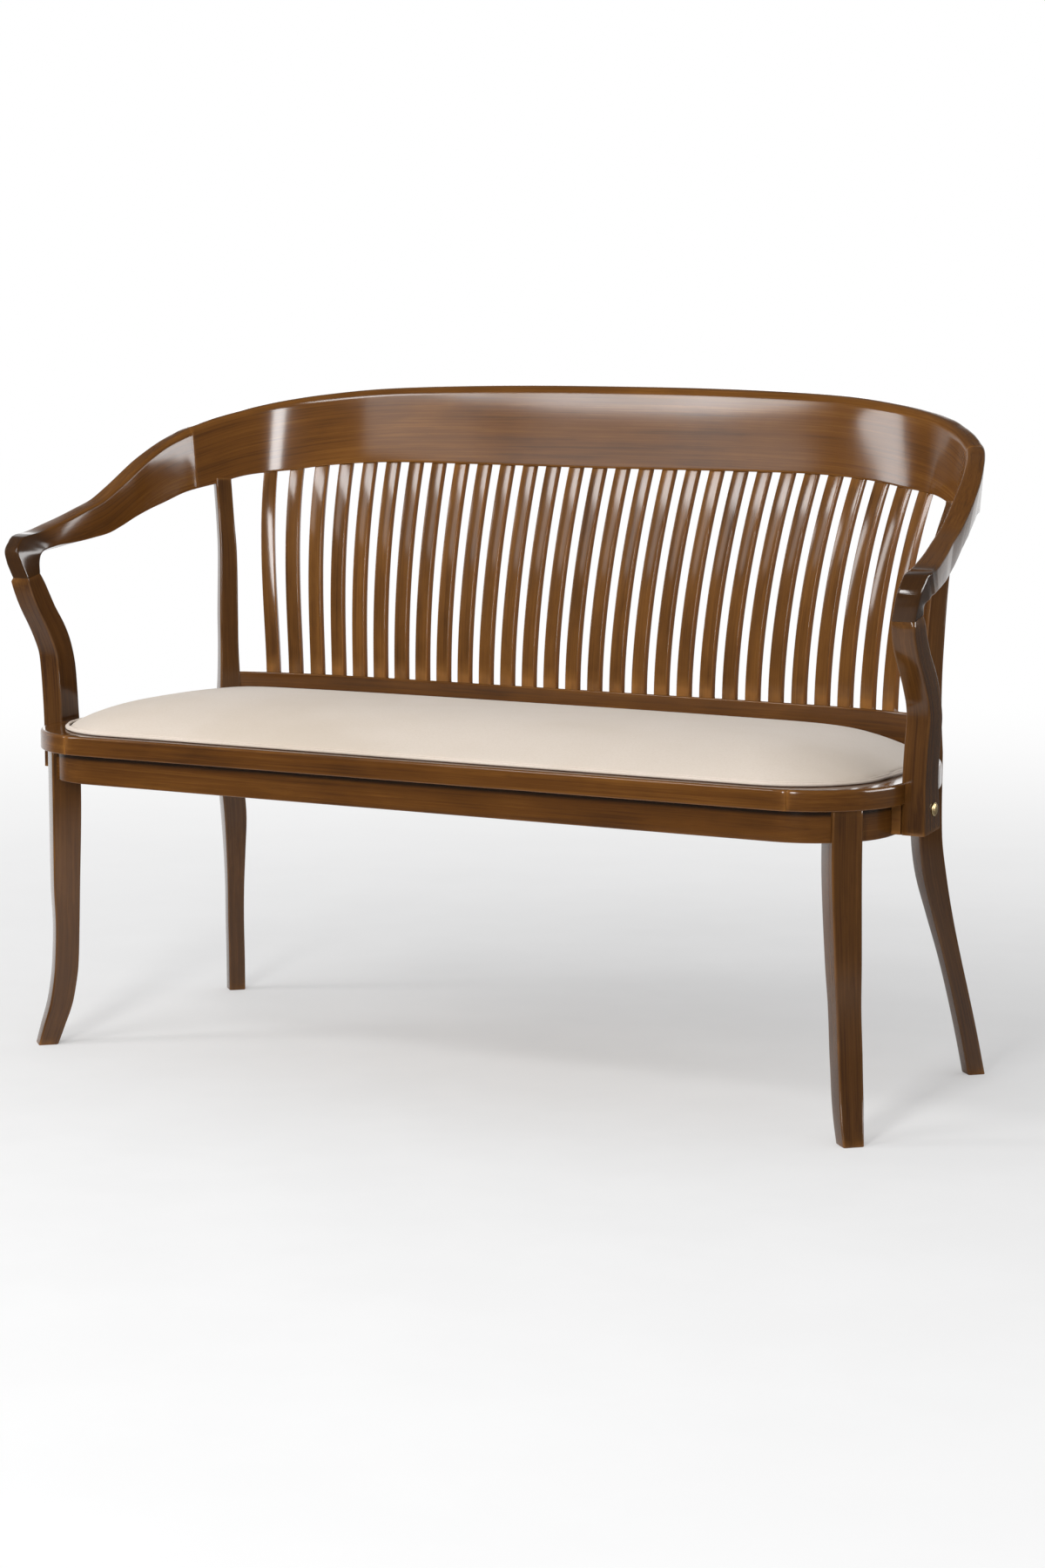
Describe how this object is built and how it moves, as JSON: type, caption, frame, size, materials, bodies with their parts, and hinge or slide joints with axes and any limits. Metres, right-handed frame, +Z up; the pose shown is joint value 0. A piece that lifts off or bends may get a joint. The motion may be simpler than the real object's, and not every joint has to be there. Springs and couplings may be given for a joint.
{
  "type": "slat-back settee",
  "caption": "Bentwood settee: a crest rail bends forward into two arms over a slatted back, with a cream upholstered seat on an oval rim and four curved legs.",
  "frame": {"origin": "on the floor, under the middle of the whole settee", "axes": "+X along the seat, to the right as seen from the front; -Y the front, +Y the back, +Z up"},
  "size_m": [1.2414, 0.536, 0.821],
  "materials": {
    "stained_wood": "warm brown stain under gloss lacquer, worn lighter on the edges",
    "plain_wood": "bare plywood",
    "cream_cover": "smooth cream upholstery cover, stretched tight",
    "cream_piping": "cord covered with the same cloth, with small even tufts where it is tacked",
    "aged_brass": "dull, aged, slightly dark in the hollows"
  },
  "bodies": {
    "root": {"seat_rim_front": "stained_wood", "seat_rim_rear": "stained_wood", "seat_rim_right": "stained_wood", "seat_rim_left": "stained_wood", "apron_front": "stained_wood", "apron_rear": "stained_wood", "apron_right": "stained_wood", "apron_left": "stained_wood", "front_leg_right": "stained_wood", "front_leg_left": "stained_wood", "rear_stile_right": "stained_wood", "rear_stile_left": "stained_wood", "lower_back_rail": "stained_wood", "crest_rail": "stained_wood", "arm_right": "stained_wood", "arm_left": "stained_wood", "arm_support_right": "stained_wood", "arm_support_left": "stained_wood", "support_spacer_right": "stained_wood", "support_spacer_left": "stained_wood", "slat_01": "stained_wood", "slat_02": "stained_wood", "slat_03": "stained_wood", "slat_04": "stained_wood", "slat_05": "stained_wood", "slat_06": "stained_wood", "slat_07": "stained_wood", "slat_08": "stained_wood", "slat_09": "stained_wood", "slat_10": "stained_wood", "slat_11": "stained_wood", "slat_12": "stained_wood", "slat_13": "stained_wood", "slat_14": "stained_wood", "slat_15": "stained_wood", "slat_16": "stained_wood", "slat_17": "stained_wood", "slat_18": "stained_wood", "slat_19": "stained_wood", "slat_20": "stained_wood", "slat_21": "stained_wood", "slat_22": "stained_wood", "slat_23": "stained_wood", "slat_24": "stained_wood", "slat_25": "stained_wood", "slat_26": "stained_wood", "slat_27": "stained_wood", "slat_28": "stained_wood", "slat_29": "stained_wood", "seat_board": "plain_wood", "seat_pad": "cream_cover", "pad_piping": "cream_piping", "support_bolt_right": "aged_brass", "support_bolt_left": "aged_brass"}
  },
  "joints": []
}
